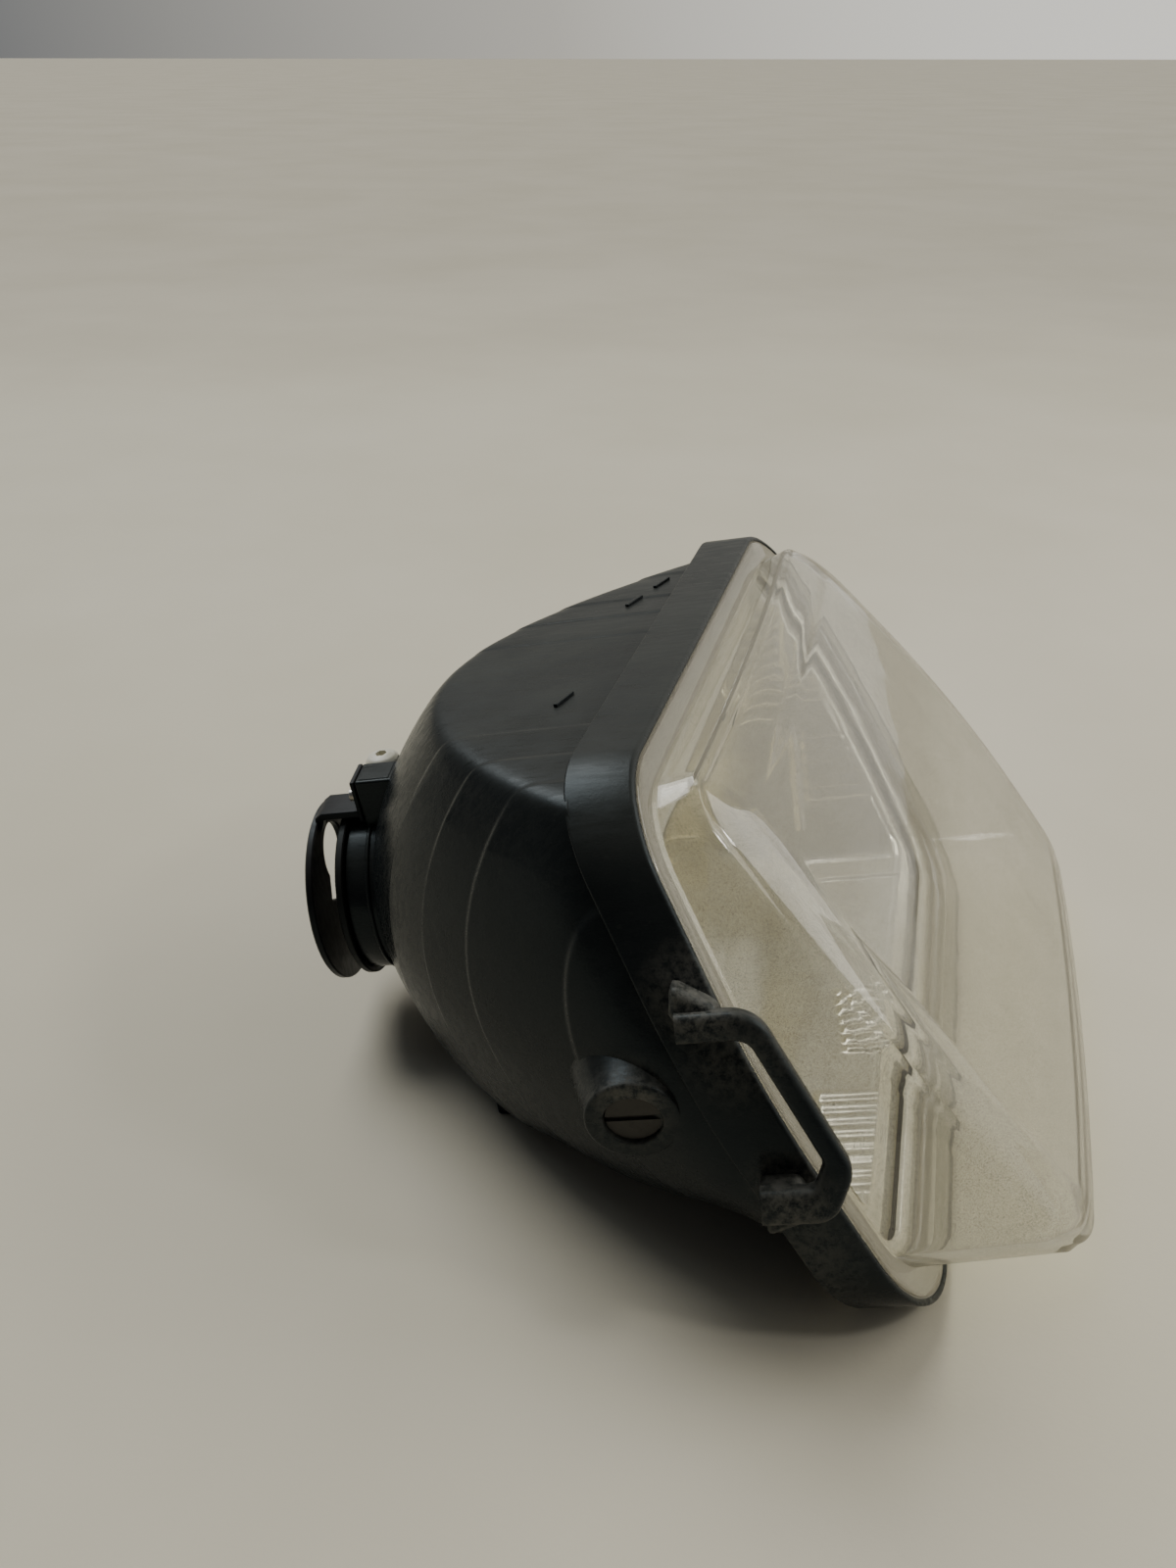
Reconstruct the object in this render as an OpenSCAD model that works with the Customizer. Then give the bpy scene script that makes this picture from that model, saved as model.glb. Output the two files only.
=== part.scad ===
// Car headlight assembly: black moulded housing, clear wedge lens, tilting
// reflector with a halogen bulb, and a rear bracket for a levelling actuator.
// The lamp is drawn in its optical frame and then set down as it rests:
// +X is where the light goes, +Y is to the lamp's left and +Z is up.

/* [Standing] */
// Tip of the optical axis above level when the lamp rests on its feet
rest_pitch = 9; // [7:0.5:10]
// Height of the optical axis above the ground, at the rim centre
rest_h = 71.51; // [71:0.01:76]

/* [Rim] */
// Backward lean of the rim plane
rim_rake = 27; // [24:1:29]
// Backward sweep of the rim plane towards the outer side
rim_sweep = 9; // [6:1:11]
// Depth of the black band behind the rim plane, along the optical axis
band_w = 18; // [14:1:22]
// Wall of the band outside the lens channel
band_wall = 1.8; // [1.6:0.2:3]
// Depth of the channel that holds the lens flange
channel_depth = 6; // [5:0.5:8]

/* [Lens] */
// Distance of the front face ahead of the rim plane, on the optical axis
face_ahead = 24; // [20:1:28]
// Backward lean of the front face
face_rake = 36; // [33:1:38]
// Rise of the crowned front face
face_crown = 8; // [2:1:12]
// Thickness of the clear wall
lens_wall = 3; // [2.4:0.2:4]

/* [Housing] */
// Four times the focal length of the outer bowl
bowl_f4 = 141.6; // [136:0.4:150]
// Place of the bowl's rear apex on the optical axis
bowl_apex = -150; // [-154:1:-148]
// Thickness of the moulded wall
shell_wall = 2.5; // [2:0.1:3]
// Height of the flat top face above the optical axis
top_z = 69; // [64:1:71]
// Fall of the top face towards the inner side
top_tilt = 3; // [0:1:4]
// Height of the flat bottom face, below the optical axis
bottom_z = -50; // [-52:1:-46]
// Outer radius of the round neck at the back
neck_r = 28; // [27:0.5:28]

/* [Reflector] */
// Four times the focal length of the reflector
mirror_f4 = 108; // [100:1:112]
// Place of the reflector's apex on the optical axis
mirror_apex = -136; // [-137:1:-134]
// Thickness of the reflector
mirror_wall = 2; // [1.6:0.1:2.4]
// Width of bezel between the rim and the mirror's side walls
bezel_w = 25; // [20:1:28]

/* [Side pivots] */
// Place of the pivot axis along the optical axis
pivot_x = -57; // [-60:1:-54]
// Height of the pivot axis
pivot_z = 2; // [0:1:4]
// Outer radius of each pivot boss
boss_r = 12.5; // [11:0.5:13]
// Radius of each pivot pin
pin_r = 4; // [3.5:0.5:4]

/* [Rear bracket] */
// Radius of the round bracket plate
plate_r = 31; // [30:0.5:32]
// Radius of the round part of the keyhole
key_r = 10; // [9:0.5:10.5]
// Height of the keyhole's centre above the optical axis
key_z = 15; // [12:0.5:16]
// Turn of the keyhole's slot from straight down towards the outer side
key_turn = 30; // [0:5:40]

/* [Hidden] */

$fn = 64;
reach = 300;                        // larger than the whole lamp
arc_steps = 8;                      // points on each rounded corner
rim_nx = cos(rim_rake) * cos(rim_sweep);

// Outline of the rim and of the lens face, seen from the front: [y, z].
rim_pts = [[-84, 77], [-122, 10], [-137, -72], [84, -78], [124, -14],
           [141, 66]];
rim_radii = [40, 150, 26, 38, 150, 26];
face_pts = [[-72, 68], [-99, 3], [-108, -76.5], [94, -78.5], [128, -14],
            [132, 61]];
face_radii = [17, 230, 14, 26, 150, 22];

// Middle of the assembly's footprint, which becomes the origin.
foot_centre = [-33.55, -1.49];

neck_back = -154;
seat_inset = 11;                    // width of the lens seat
flange_inset = 2.2;                 // gap between band and lens flange
flange_width = 7.4;
lens_lift = 3;                      // depth of the flange's back face
flange_t = 3;
bezel_gap = 14.5;                   // space around the reflector's edge
cavity_inset = 3.4;                 // from the rim's outline to the bowl's hollow
bezel_back = 10.8;                  // depth of the bezel behind the rim
bezel_t = 2;
flare_x = -45;                      // where the bottom starts to flare
flare_slope = 0.38;
boss_face = 120;                    // distance of the boss faces from the middle
head_r = 7.2;
recess_r = 7.5;
box_x = [-148.4, -135.6];
box_half = 6.5;
box_wall = 1.6;
box_top = 43.8;
flange_back = -150;                 // rear face of the bracket's flange
fork_x = -144.5;
fork_y = 15;
fork_z = 22;
trunnion_r = 1.8;
screw_r = 1.6;
knob_shaft_r = 2.6;
knob_z = 35.6;                      // underside of the adjuster's head
run_gap = 0.05;                     // radial running clearance
plate_t = 2.5;
plate_back = -166.5;
loop_tilt = 20;
loop_y = -124;
loop_t = 6;
loop_out = 7.5;                     // how far the loop stands off the band

function unit(v) = v / norm(v);
function neighbours(p, i) =
    let (n = len(p))
    [unit(p[(i + n - 1) % n] - p[i]), unit(p[(i + 1) % n] - p[i])];
function half_angle(uv) = acos(uv[0] * uv[1]) / 2;
function turn(a) = a > 180 ? a - 360 : (a < -180 ? a + 360 : a);

// A convex outline moved inwards by d.
function inset(p, d) = [
    for (i = [0 : len(p) - 1])
        let (uv = neighbours(p, i))
        p[i] + unit(uv[0] + uv[1]) * d / sin(half_angle(uv))];
function inset_radii(r, d) = [for (v = r) max(v - d, 4)];

// The outline with each corner rounded to its own radius.
function corner(p, r, i, steps) =
    let (uv = neighbours(p, i),
         h = half_angle(uv),
         c = p[i] + unit(uv[0] + uv[1]) * r[i] / sin(h),
         s = p[i] + uv[0] * r[i] / tan(h) - c,
         e = p[i] + uv[1] * r[i] / tan(h) - c,
         a0 = atan2(s[1], s[0]),
         da = turn(atan2(e[1], e[0]) - a0))
    [for (k = [0 : steps]) let (a = a0 + da * k / steps)
        c + r[i] * [cos(a), sin(a)]];
function rounded(p, r, steps) =
    [for (i = [0 : len(p) - 1]) each corner(p, r, i, steps)];
function rim_outline(d) =
    rounded(inset(rim_pts, d), inset_radii(rim_radii, d), arc_steps);
function face_outline(d) =
    rounded(inset(face_pts, d), inset_radii(face_radii, d), arc_steps);

// Points of an outline lifted onto a leaning plane.
function lean(yz, ahead, rake) =
    ahead + yz[0] * tan(rim_sweep) - yz[1] * tan(rake) / cos(rim_sweep);
function on_plane(outline, ahead, rake) =
    [for (q = outline) [lean(q, ahead, rake), q[0], q[1]]];
function mix(a, b, t) = [for (i = [0 : len(a) - 1]) a[i] * (1 - t) + b[i] * t];
function bend(a, b, c, t) = mix(mix(a, b, t), mix(b, c, t), t);
function floor_z(x) = -(rest_h + x * sin(rest_pitch)) / cos(rest_pitch);

// Sets the optical frame down in the standing pose.
module stand() {
    translate([-foot_centre[0], -foot_centre[1], rest_h])
        rotate([0, -rest_pitch, 0])
            children();
}

// Solid between two planes parallel to the rim, given along the optical axis.
module rim_slab(back, front) {
    rotate([0, -rim_rake, -rim_sweep])
        translate([back * rim_nx, -reach, -reach])
            cube([(front - back) * rim_nx, 2 * reach, 2 * reach]);
}

module rim_prism(d, back = -200, front = 120) {
    translate([back, 0, 0])
        rotate([90, 0, 90])
            linear_extrude(height = front - back)
                polygon(rim_outline(d));
}

// Solid paraboloid that opens along +X.
module paraboloid(f4, apex) {
    rings = 16;
    r_max = 176;
    translate([apex, 0, 0])
        rotate([0, 90, 0])
            rotate_extrude($fn = 96)
                polygon([[0, 0],
                         for (i = [1 : rings]) let (r = r_max * i / rings)
                             [r, r * r / f4],
                         [0, r_max * r_max / f4]]);
}

module under_top(z) {
    rotate([-top_tilt, 0, 0])
        translate([-reach, -reach, z - reach])
            cube([2 * reach, 2 * reach, reach]);
}

// Everything above the bottom face, which flares down towards the rim.
module over_bottom(z, start) {
    far_x = 100;
    translate([0, reach, 0])
        rotate([90, 0, 0])
            linear_extrude(height = 2 * reach)
                polygon([[-reach, z], [start, z],
                         [far_x, z - flare_slope * (far_x - start)],
                         [far_x, reach], [-reach, reach]]);
}

// Everything inside the sloping face between the outer flank and the bottom.
module inside_corner(inset) {
    slope = [[-104, -80.7], [-80, -92.5], [-64, -101], [-50, -106],
             [-36, -109], [-22, -118], [60, -128]];
    rotate([-47.8, 0, 0])
        translate([0, reach, inset])
            rotate([90, 0, 0])
                linear_extrude(height = 2 * reach)
                    polygon(concat([[-reach, reach], [-reach, -reach],
                                    [slope[0][0], -reach]],
                                   slope, [[60, reach]]));
}

module along_x(r, back, front, y = 0, z = 0) {
    translate([back, y, z])
        rotate([0, 90, 0])
            cylinder(r = r, h = front - back);
}

module along_y(r, low, high, x = pivot_x, z = pivot_z) {
    translate([x, high, z])
        rotate([90, 0, 0])
            cylinder(r = r, h = high - low);
}

// A part outline in the X-Z plane, thick along Y.
module side_plate(points, low, high) {
    translate([0, high, 0])
        rotate([90, 0, 0])
            linear_extrude(height = high - low)
                polygon(points);
}

// Body of a bowl: paraboloid between a top, a bottom and the side walls.
module bowl(f4, apex, side_inset, top, bottom, front) {
    intersection() {
        paraboloid(f4, apex);
        rim_prism(side_inset);
        under_top(top);
        over_bottom(bottom, flare_x);
        rim_slab(-reach, front);
    }
}

// Raised lines that run round both flanks of the bowl.
module flank_ribs() {
    rib_w = 1.2;
    rib_h = 0.9;
    intersection() {
        bowl(bowl_f4, bowl_apex - 1.6 * rib_h, 1.5, top_z + 0.4,
             bottom_z + 4, -band_w + 1);
        inside_corner(-0.3);
        for (side = [0, 1], d = [49, 67, 83, 105])
            mirror([0, side, 0])
                rotate([-12, 0, 0])
                    translate([-reach, -d - rib_w / 2, -reach])
                        cube([2 * reach, rib_w, 2 * reach]);
    }
}

// Short raised marks on the top face: place on it and direction.
module top_dashes() {
    dash_h = 0.8;
    for (p = [[-74, -19, 65], [-55, -33, 69], [-58, 63, 62],
              [-49, 80, 62]])
        rotate([-top_tilt, 0, 0])
            translate([p[0], p[1], top_z - 1])
                rotate([0, 0, p[2]])
                    translate([-5, -0.8, 0])
                        cube([10, 1.6, 1 + dash_h]);
}

// U-shaped loop that stands off the outer side of the band.
module side_loop() {
    outer = rounded([[-60, 34], [-23.5, 34], [-3.6, -8], [-9.6, -21],
                     [-60, -21]], [1, 11, 9, 7, 1], 6);
    hole = rounded([[-80, 26.5], [-26.3, 26.5], [-11, -5.5], [-13.5, -12],
                    [-80, -12]], [1, 5, 4, 3, 1], 6);
    translate([0, loop_y, 0])
        rotate([-loop_tilt, 0, 0])
            difference() {
                side_plate(outer, -loop_out, loop_t - loop_out);
                side_plate(hole, -loop_out - 1, loop_t);
                side_plate([[-70, -40], [-26, -40], [-26, 0], [-42, 20],
                            [-42, 50], [-70, 50]], -loop_out - 1, loop_t);
            }
}

// Roots that join the loop to the band.
module loop_roots() {
    translate([0, loop_y, 0])
        rotate([-loop_tilt, 0, 0]) {
            side_plate([[-46, 44], [-37, 37], [-33, 34], [-33, 26.5],
                        [-42, 26.5], [-45, 34]], 2.5 - loop_out, 4);
            side_plate([[-27, -12], [-17, -12], [-14, -19.5], [-17, -22],
                        [-26, -25]], 2.5 - loop_out, 5);
        }
}

module pivot_boss(side) {
    mirror([0, side > 0 ? 0 : 1, 0]) {
        along_y(boss_r, boss_face - 16, boss_face);
        translate([pivot_x, boss_face - 20, pivot_z])
            rotate([-90, 0, 0])
                cylinder(r1 = boss_r + 6, r2 = boss_r, h = 17);
    }
}

module pivot_boss_bores(side) {
    mouth = side < 0 ? -boss_face - 1 : boss_face - 3.5;
    along_y(recess_r, mouth, mouth + 4.5);
    inner = side < 0 ? -boss_face : 100;
    along_y(pin_r, inner, inner + 20);
}

// Short ribs under the bowl that the lamp stands on.
module rest_feet() {
    back = -112;
    front = -90;
    for (y = [-57, 51])
        side_plate([[back, -44], [front, -44], [front, floor_z(front)],
                    [back, floor_z(back)]], y, y + 6);
}

// Hollow of the box that the bracket is screwed to.
module box_hollow() {
    translate([box_x[0] + box_wall, box_wall - box_half, 18])
        cube([box_x[1] - box_x[0] - 2 * box_wall, 2 * (box_half - box_wall),
              box_top - 19.8]);
}

// Block beside it that carries the adjuster.
module adjuster_block() {
    translate([fork_x - 6.4, box_half + 0.4, 12])
        cube([15.5, fork_y + 0.7, 18.5]);
    translate([fork_x, fork_y, 28])
        cylinder(r = 5, h = knob_z - 28.7);
}

module adjuster_well() {
    translate([fork_x - 4.4, fork_y - 6, 10])
        cube([12.6, 12, 18]);
    translate([fork_x, fork_y, 27])
        cylinder(r = knob_shaft_r + run_gap, h = 9);
    translate([fork_x, fork_y, knob_z - 0.4])
        cylinder(r = 6.3, h = 12);
}

module housing() {
    vent = [-122, 58, -20];
    color([0.05, 0.05, 0.055])
    stand()
    difference() {
        union() {
            intersection() {
                rim_prism(0);
                rim_slab(-band_w, 0);
            }
            intersection() {
                bowl(bowl_f4, bowl_apex, 1.5, top_z, bottom_z, -2);
                inside_corner(0);
            }
            flank_ribs();
            top_dashes();
            along_x(neck_r, neck_back, -138);
            translate([box_x[0], -box_half, 26.5])
                cube([box_x[1] - box_x[0], 2 * box_half, box_top - 26.5]);
            adjuster_block();
            pivot_boss(-1);
            pivot_boss(1);
            side_loop();
            loop_roots();
            rest_feet();
            along_x(3, vent[0] - 10, vent[0] + 8, vent[1], vent[2]);
        }
        intersection() {
            bowl(bowl_f4, bowl_apex + shell_wall, cavity_inset,
                 top_z - shell_wall, bottom_z + shell_wall,
                 -channel_depth - 2.5);
            inside_corner(shell_wall);
        }
        intersection() {
            rim_prism(seat_inset);
            rim_slab(-channel_depth - 4, 2);
        }
        intersection() {
            rim_prism(band_wall);
            rim_slab(-channel_depth, 2);
        }
        along_x(neck_r - shell_wall, neck_back - 1, -130);
        box_hollow();
        adjuster_well();
        for (y = [-4, 4])
            along_x(1, -150, -145, y, 38);
        pivot_boss_bores(-1);
        pivot_boss_bores(1);
        along_x(1.5, vent[0] - 11, vent[0] + 9, vent[1], vent[2]);
    }
}

// Closed shell from rings of points, with a fan to a point at each end.
module skin(rings, first, last) {
    n = len(rings[0]);
    m = len(rings);
    points = concat([for (r = rings) each r], [first, last]);
    faces = concat(
        [for (j = [0 : m - 2], i = [0 : n - 1]) let (k = (i + 1) % n)
            each [[j * n + i, (j + 1) * n + k, j * n + k],
                  [j * n + i, (j + 1) * n + i, (j + 1) * n + k]]],
        [for (i = [0 : n - 1]) [i, (i + 1) % n, m * n]],
        [for (i = [0 : n - 1])
            [(m - 1) * n + (i + 1) % n, (m - 1) * n + i, m * n + 1]]);
    polyhedron(points = points, faces = faces);
}

// Rise of the crowned face at a point of it.
function crown(q) =
    face_crown * (1 - pow((q[0] - 8) / 118, 2) / 2 - pow((q[1] + 4) / 72, 2) / 2);
function face_skin(outline, depth) =
    [for (q = outline) [lean(q, face_ahead + crown(q) - depth, face_rake),
                        q[0], q[1]]];

// Rings of the front face inside its rounded edge, out from the middle.
function crown_rings(edge, depth) = [
    for (s = [0.3, 0.55, 0.78])
        face_skin([for (q = edge) [8, -4] * (1 - s) + q * s], depth)];

// Rings up the side wall and round the ridge, for a wall d inside the skin.
function wall_rings(foot, tip, edge) = concat(
    [foot, mix(foot, tip, 0.45), mix(foot, tip, 0.82)],
    [for (t = [0.25, 0.5, 0.75, 1]) bend(mix(foot, tip, 0.82), tip, edge, t)]);

function reversed(v) = [for (i = [len(v) - 1 : -1 : 0]) v[i]];

module lens() {
    edge_w = 13;
    sink = -2.4;                    // the ridge is rounded below the face
    deep = lens_wall * 1.2;
    back = -lens_lift;
    inner = flange_inset + flange_width;
    o_rim = on_plane(rim_outline(inner), back + flange_t, rim_rake);
    i_rim = on_plane(rim_outline(inner + lens_wall), back, rim_rake);
    o_tip = face_skin(face_outline(0), 0);
    i_tip = face_skin(face_outline(lens_wall), lens_wall);
    o_edge = face_skin(face_outline(edge_w), sink);
    i_edge = face_skin(face_outline(edge_w), sink + deep);
    mid = [[8, -4]];
    color([0.85, 0.9, 0.92, 0.35])
    stand()
    skin(concat(
            crown_rings(face_outline(edge_w), sink),
            reversed(wall_rings(o_rim, o_tip, o_edge)),
            [on_plane(rim_outline(flange_inset), back + flange_t, rim_rake),
             on_plane(rim_outline(flange_inset), back, rim_rake)],
            wall_rings(i_rim, i_tip, i_edge),
            reversed(crown_rings(face_outline(edge_w), sink + deep))),
         face_skin(mid, sink)[0], face_skin(mid, sink + deep)[0]);
}

module lens_seal() {
    color([0.03, 0.03, 0.03])
    stand()
    intersection() {
        difference() {
            rim_prism(band_wall + 0.2);
            rim_prism(seat_inset - 0.4);
        }
        rim_slab(-channel_depth, -lens_lift);
    }
}

// Pale trim that closes the gap between the lens seat and the reflector.
module bezel() {
    lip = 0.9;
    front = -4.7;
    color([0.8, 0.79, 0.74])
    stand()
    difference() {
        intersection() {
            rim_prism(seat_inset);
            rim_slab(-7, front);
        }
        intersection() {
            rim_prism(seat_inset + lip);
            rim_slab(-8, front - 1.2);
        }
        rim_prism(17);
    }
}

module reflector() {
    collar_r = 19;
    bulb_hole_r = 12;
    side = [-124, 0, -36];
    color([0.8, 0.79, 0.74])
    stand()
    difference() {
        union() {
            bowl(mirror_f4, mirror_apex - mirror_wall, bezel_w - mirror_wall,
                 58 + mirror_wall, -44 - mirror_wall, -bezel_back + bezel_t);
            intersection() {
                rim_prism(bezel_gap);
                rim_slab(-bezel_back, -bezel_back + bezel_t);
                paraboloid(mirror_f4 * 1.6, mirror_apex - 10);
                inside_corner(shell_wall + 2.6);
            }
            along_x(collar_r, -139, -128);
            along_x(8.5, -132, -122, side[1], side[2]);
            for (y = [-107.8, 90])
                along_y(7.2, y, y + 17.8);
            for (y = [fork_y - 4.5, fork_y + 3.1])
                side_plate([[-126, 11], [-135, 11], [-147.8, 17.5],
                            [-147.8, 25.2], [-126, 25.2]], y, y + 1.4);
        }
        bowl(mirror_f4, mirror_apex, bezel_w, 58, -44,
             -bezel_back + bezel_t + 1);
        along_x(bulb_hole_r, -140, -120);
        along_x(5.6, -140, -110, side[1], side[2]);
        for (x = [-0.9, 0.9])
            along_y(trunnion_r + 0.3, fork_y - 6, fork_y + 6, fork_x + x,
                    fork_z);
        along_y(5.5, -109, -103.1);
        along_y(5.5, 103.1, 109);
    }
}

// Plastic bushes pressed into the reflector, which turn on the pins.
module pivot_bushes() {
    color([0.9, 0.88, 0.8])
    stand()
    for (y = [-107.8, 103.1])
        difference() {
            along_y(5.5, y, y + 4.7);
            along_y(pin_r + run_gap, y - 1, y + 6);
        }
}

// Slotted steel pin through a side boss; side is -1 outer or 1 inner.
module pivot_pin(side) {
    color([0.45, 0.43, 0.4])
    stand()
    mirror([0, side > 0 ? 1 : 0, 0])
    difference() {
        union() {
            along_y(pin_r, -117, -104.4);
            along_y(head_r, -118.6, -116.5);
        }
        translate([pivot_x - 8, -119, pivot_z - 0.8])
            cube([16, 1.4, 1.6]);
    }
}

module pivot_pin_outer() {
    pivot_pin(-1);
}

module pivot_pin_inner() {
    pivot_pin(1);
}

module bulb_flange() {
    color([0.75, 0.75, 0.72])
    stand()
    difference() {
        union() {
            along_x(17, -140.4, -139);
            for (a = [60, 180, 300])
                rotate([a, 0, 0])
                    translate([-140.4, -3, 14])
                        cube([1.4, 6, 4.5]);
        }
        along_x(9, -141, -138);
    }
}

module bulb_base() {
    color([0.7, 0.7, 0.68])
    stand() {
        along_x(9, -145.5, -133);
        along_x(7, -147, -145.5);
    }
}

module bulb_terminals() {
    color([0.78, 0.7, 0.5])
    stand() {
        for (y = [-5.5, 4.7])
            translate([-152, y, -3])
                cube([5, 0.8, 6]);
        translate([-152, -3, 5.2])
            cube([5, 6, 0.8]);
    }
}

module bulb_glass() {
    r = 8;
    wall = 1;
    color([0.9, 0.92, 0.95, 0.4])
    stand()
    difference() {
        union() {
            along_x(r, -133, -98);
            translate([-98, 0, 0])
                sphere(r = r);
        }
        along_x(r - wall, -131.5, -98);
        translate([-98, 0, 0])
            sphere(r = r - wall);
    }
}

module main_filament() {
    color([0.4, 0.38, 0.36])
    stand()
    translate([-109, 0, 0])
        rotate([90, 0, 0])
            cylinder(r = 0.8, h = 5, center = true);
}

module dipped_filament() {
    color([0.4, 0.38, 0.36])
    stand()
        along_x(0.8, -105, -100, 0, 1.5);
}

// Small metal cup under the dipped filament.
module filament_shield() {
    color([0.6, 0.6, 0.6])
    stand()
    difference() {
        along_x(5, -106, -97);
        along_x(4.4, -105.4, -97.6);
        translate([-107, -6, 0])
            cube([11, 12, 6]);
    }
}

// Spring wire that holds the bulb's flange against the collar.
module wire(a, b, r) {
    d = b - a;
    translate(a) {
        rotate([0, acos(d[2] / norm(d)), atan2(d[1], d[0])])
            cylinder(r = r, h = norm(d), $fn = 20);
        sphere(r = r * 1.08, $fn = 20);
    }
    translate(b)
        sphere(r = r * 1.08, $fn = 20);
}

module bulb_clip() {
    x = -141.6;
    route = [[x, -15, -11], [x, -12, -11], [x, -10.6, 0], [x, -10.6, 9],
             [x, -5, 14], [x, 5, 14], [x, 10.6, 9], [x, 10.6, 0],
             [x, 12, -11], [x, 15, -11]];
    color([0.7, 0.7, 0.72])
    stand()
    for (i = [0 : len(route) - 2])
        wire(route[i], route[i + 1], 0.7);
}

module sidelight_holder() {
    color([0.12, 0.12, 0.12])
    stand()
    difference() {
        union() {
            along_x(5.5, -132, -119, 0, -36);
            along_x(7.5, -133.6, -132, 0, -36);
        }
        along_x(4, -125, -118, 0, -36);
    }
}

module sidelight_bulb() {
    wall = 0.8;
    color([0.9, 0.92, 0.95, 0.4])
    stand()
    difference() {
        union() {
            along_x(4, -125, -110, 0, -36);
            translate([-110, 0, -36])
                sphere(r = 4);
        }
        along_x(4 - wall, -124, -110, 0, -36);
        translate([-110, 0, -36])
            sphere(r = 4 - wall);
    }
}

// Small coil of the side light, drawn as a bead.
module sidelight_filament() {
    color([0.4, 0.38, 0.36])
    stand()
    translate([-112, 0, -36])
        sphere(r = 1);
}

module rear_cap() {
    cap_r = 29.8;
    color([0.06, 0.06, 0.065])
    stand() {
        difference() {
            union() {
                along_x(cap_r, -157, -154.4);
                along_x(neck_r - shell_wall - 1.4, -154.4, -149.5);
            }
            along_x(neck_r - shell_wall - 3.6, -155, -149);
        }
        translate([-159.5, -20, -2])
            cube([2.5, 40, 4]);
    }
}

module rear_cap_seal() {
    color([0.1, 0.1, 0.1])
    stand()
    translate([-152, 0, 0])
        rotate([0, 90, 0])
            rotate_extrude()
                translate([neck_r - shell_wall - 0.7 - run_gap, 0])
                    circle(r = 0.7, $fn = 24);
}

module levelling_bracket() {
    front = plate_back + plate_t;
    arm_z = [30.6, 33.2];
    color([0.05, 0.05, 0.055])
    stand()
    difference() {
        union() {
            along_x(plate_r, plate_back, front);
            side_plate([[front - 1, 24], [front - 1, 31.5],
                        [front + 1.6, arm_z[1]], [flange_back + 0.5, arm_z[1]],
                        [flange_back + 0.5, arm_z[0]], [front + 2, arm_z[0]],
                        [front, 26]], -box_half, box_half);
            translate([flange_back, -box_half, 28.8])
                cube([box_x[0] - flange_back, 2 * box_half, box_top - 28.8]);
        }
        along_x(key_r, plate_back - 1, front + 3, 0, key_z);
        translate([0, 0, key_z])
            rotate([-key_turn, 0, 0])
                translate([plate_back - 1, -6.2, -16.3])
                    cube([plate_t + 2, 12.4, 16.3]);
        for (y = [-4, 4])
            along_x(1.2, flange_back - 1, -148, y, 38);
    }
}

module bracket_screws() {
    color([0.6, 0.6, 0.58])
    stand()
    for (y = [-4, 4])
        difference() {
            union() {
                along_x(0.95, flange_back, -146.2, y, 38);
                along_x(2, flange_back - 1.3, flange_back, y, 38);
            }
            translate([flange_back - 1.4, y - 1.4, 37.7])
                cube([0.8, 2.8, 0.6]);
            translate([flange_back - 1.4, y - 0.3, 36.6])
                cube([0.8, 0.6, 2.8]);
        }
}

// Domed nylon head on a short shaft; it turns the adjuster screw.
module adjuster_knob() {
    color([0.88, 0.85, 0.75])
    stand()
    translate([fork_x, fork_y, 0])
        difference() {
            union() {
                translate([0, 0, 28.4])
                    cylinder(r = knob_shaft_r, h = knob_z - 27);
                translate([0, 0, knob_z])
                    rotate_extrude()
                        polygon([[0, 0], [6, 0], [6, 3.4], [5.6, 4.9],
                                 [4.6, 6.1], [2.8, 6.8], [0, 7]]);
            }
            for (a = [0 : 45 : 315])
                rotate([0, 0, a])
                    translate([6.8, 0, knob_z - 1])
                        cylinder(r = 1.4, h = 10, $fn = 20);
            translate([0, 0, knob_z + 4.5])
                cylinder(r = 2, h = 5, $fn = 6);
            translate([0, 0, 28])
                cylinder(r = screw_r, h = 3);
        }
}

module adjuster_screw() {
    color([0.72, 0.7, 0.6])
    stand()
    translate([fork_x, fork_y, 17.5])
        cylinder(r = screw_r, h = 13.5);
}

// Nut that climbs the screw and carries the reflector's fork.
module adjuster_nut() {
    color([0.88, 0.85, 0.75])
    stand()
    difference() {
        union() {
            translate([fork_x - 3, fork_y - 2.7, fork_z - 2.2])
                cube([6, 5.4, 4.4]);
            along_y(trunnion_r, fork_y - 4.5, fork_y + 4.5, fork_x, fork_z);
        }
        translate([fork_x, fork_y, fork_z - 4])
            cylinder(r = screw_r + run_gap, h = 8);
    }
}

module vent_cap() {
    x = -139.8;
    color([0.08, 0.08, 0.08])
    stand()
    difference() {
        union() {
            along_x(5, x, x + 10, 58, -20);
            translate([x, 58, -20])
                sphere(r = 5, $fn = 32);
        }
        along_x(3, x + 3, x + 11, 58, -20);
    }
}

housing();
lens();
lens_seal();
bezel();
reflector();
pivot_bushes();
pivot_pin_outer();
pivot_pin_inner();
bulb_flange();
bulb_base();
bulb_terminals();
bulb_glass();
main_filament();
dipped_filament();
filament_shield();
bulb_clip();
sidelight_holder();
sidelight_bulb();
sidelight_filament();
rear_cap();
rear_cap_seal();
levelling_bracket();
bracket_screws();
adjuster_knob();
adjuster_screw();
adjuster_nut();
vent_cap();
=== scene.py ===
"""Looks for the car headlight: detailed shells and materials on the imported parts."""
import math

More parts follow.
